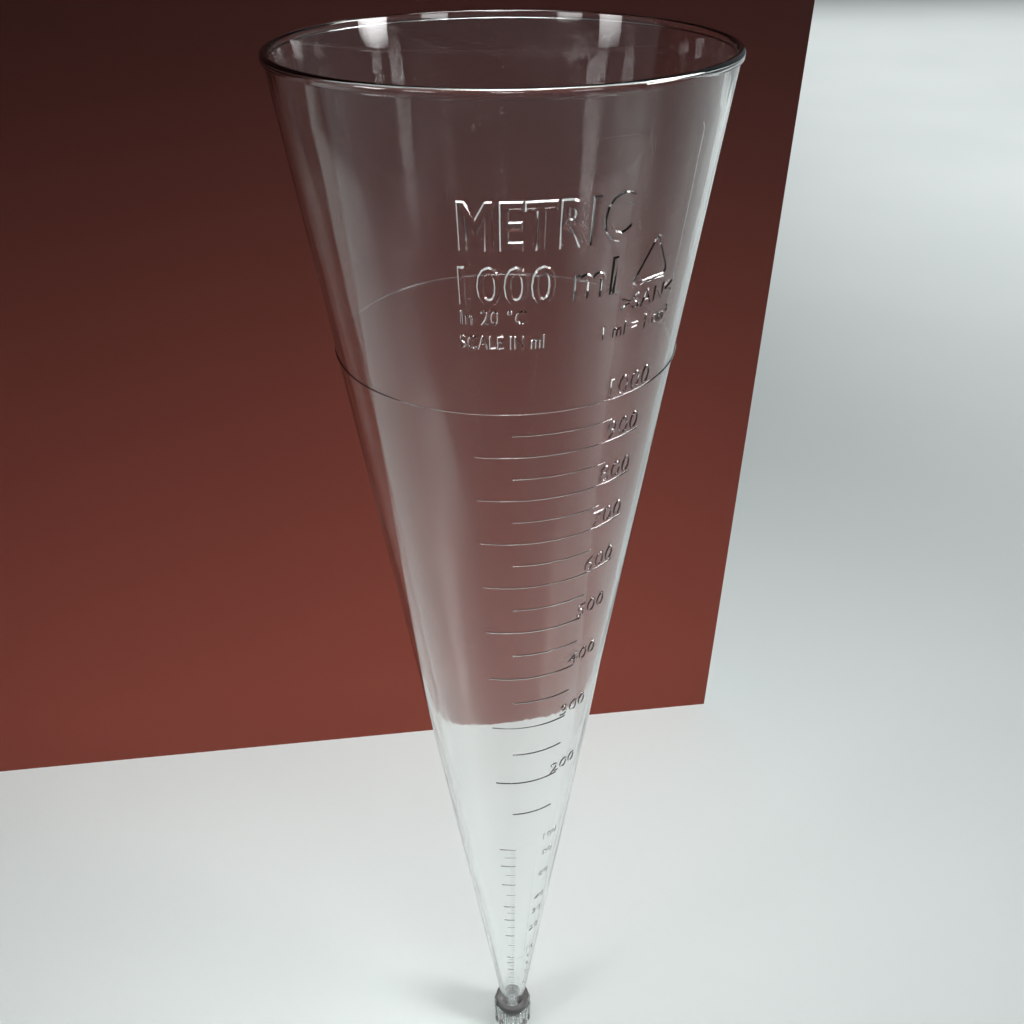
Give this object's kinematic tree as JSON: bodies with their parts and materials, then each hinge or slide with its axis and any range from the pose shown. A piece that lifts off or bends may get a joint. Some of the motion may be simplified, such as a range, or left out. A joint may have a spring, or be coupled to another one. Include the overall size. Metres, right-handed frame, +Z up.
{
  "type": "imhoff settling cone",
  "caption": "Tall clear conical settling vessel with a rimmed mouth, raised volume scale and a threaded drain spout closed by a fluted screw cap.",
  "frame": {"origin": "centre of the cap's flat base, on the surface that the cone stands on", "axes": "+Z up along the cone's axis, -Y towards the front, where the scale and legend are"},
  "size_m": [0.1198, 0.1198, 0.473],
  "materials": {
    "clear_moulding": "clear moulded styrene plastic, polished",
    "seal_rubber": "satin",
    "cap_moulding": "clear moulded styrene plastic, polished"
  },
  "bodies": {
    "cone": {"cone_body": "clear_moulding"},
    "seal": {"sealing_ring": "seal_rubber"},
    "cap": {"drain_cap": "cap_moulding"}
  },
  "joints": [
    {"name": "cap_travel", "type": "slide", "parent": "cone", "child": "seal", "axis": [0, 0, -1], "range_m": [0, 0.01]},
    {"name": "cap_turn", "type": "hinge", "parent": "seal", "child": "cap", "pos_m": [0, 0, 0], "axis": [0, 0, -1], "range_deg": [0, 1440]}
  ],
  "couplings": [
    {"joint": "cap_turn", "follows": "cap_travel", "rad_per_m": 2513.3}
  ]
}
